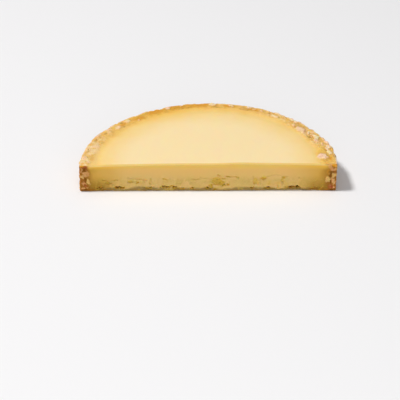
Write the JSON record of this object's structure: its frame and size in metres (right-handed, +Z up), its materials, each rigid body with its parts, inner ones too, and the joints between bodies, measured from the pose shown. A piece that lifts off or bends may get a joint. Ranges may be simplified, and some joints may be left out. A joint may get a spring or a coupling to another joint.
{
  "type": "half wheel of cantal cheese",
  "caption": "Half of a round slab of pressed cheese: thick dry rind round the arc, smooth sliced top, straight cut face with curd broken out along its foot. Lies flat.",
  "frame": {"origin": "middle of the bounding box at the underside, on the surface that the slab lies on", "axes": "+Z up, X along the cut, -Y out of the cut face towards the viewer, +Y towards the middle of the rind's arc"},
  "size_m": [0.3802, 0.1912, 0.0467],
  "materials": {
    "paste": "smooth, waxy, slightly translucent pressed curd, pale in the middle and golden near the rind",
    "rind": "dry, pitted tan-brown crust with pale crumbly patches"
  },
  "bodies": {
    "root": {"half_wheel": "paste"}
  },
  "joints": []
}
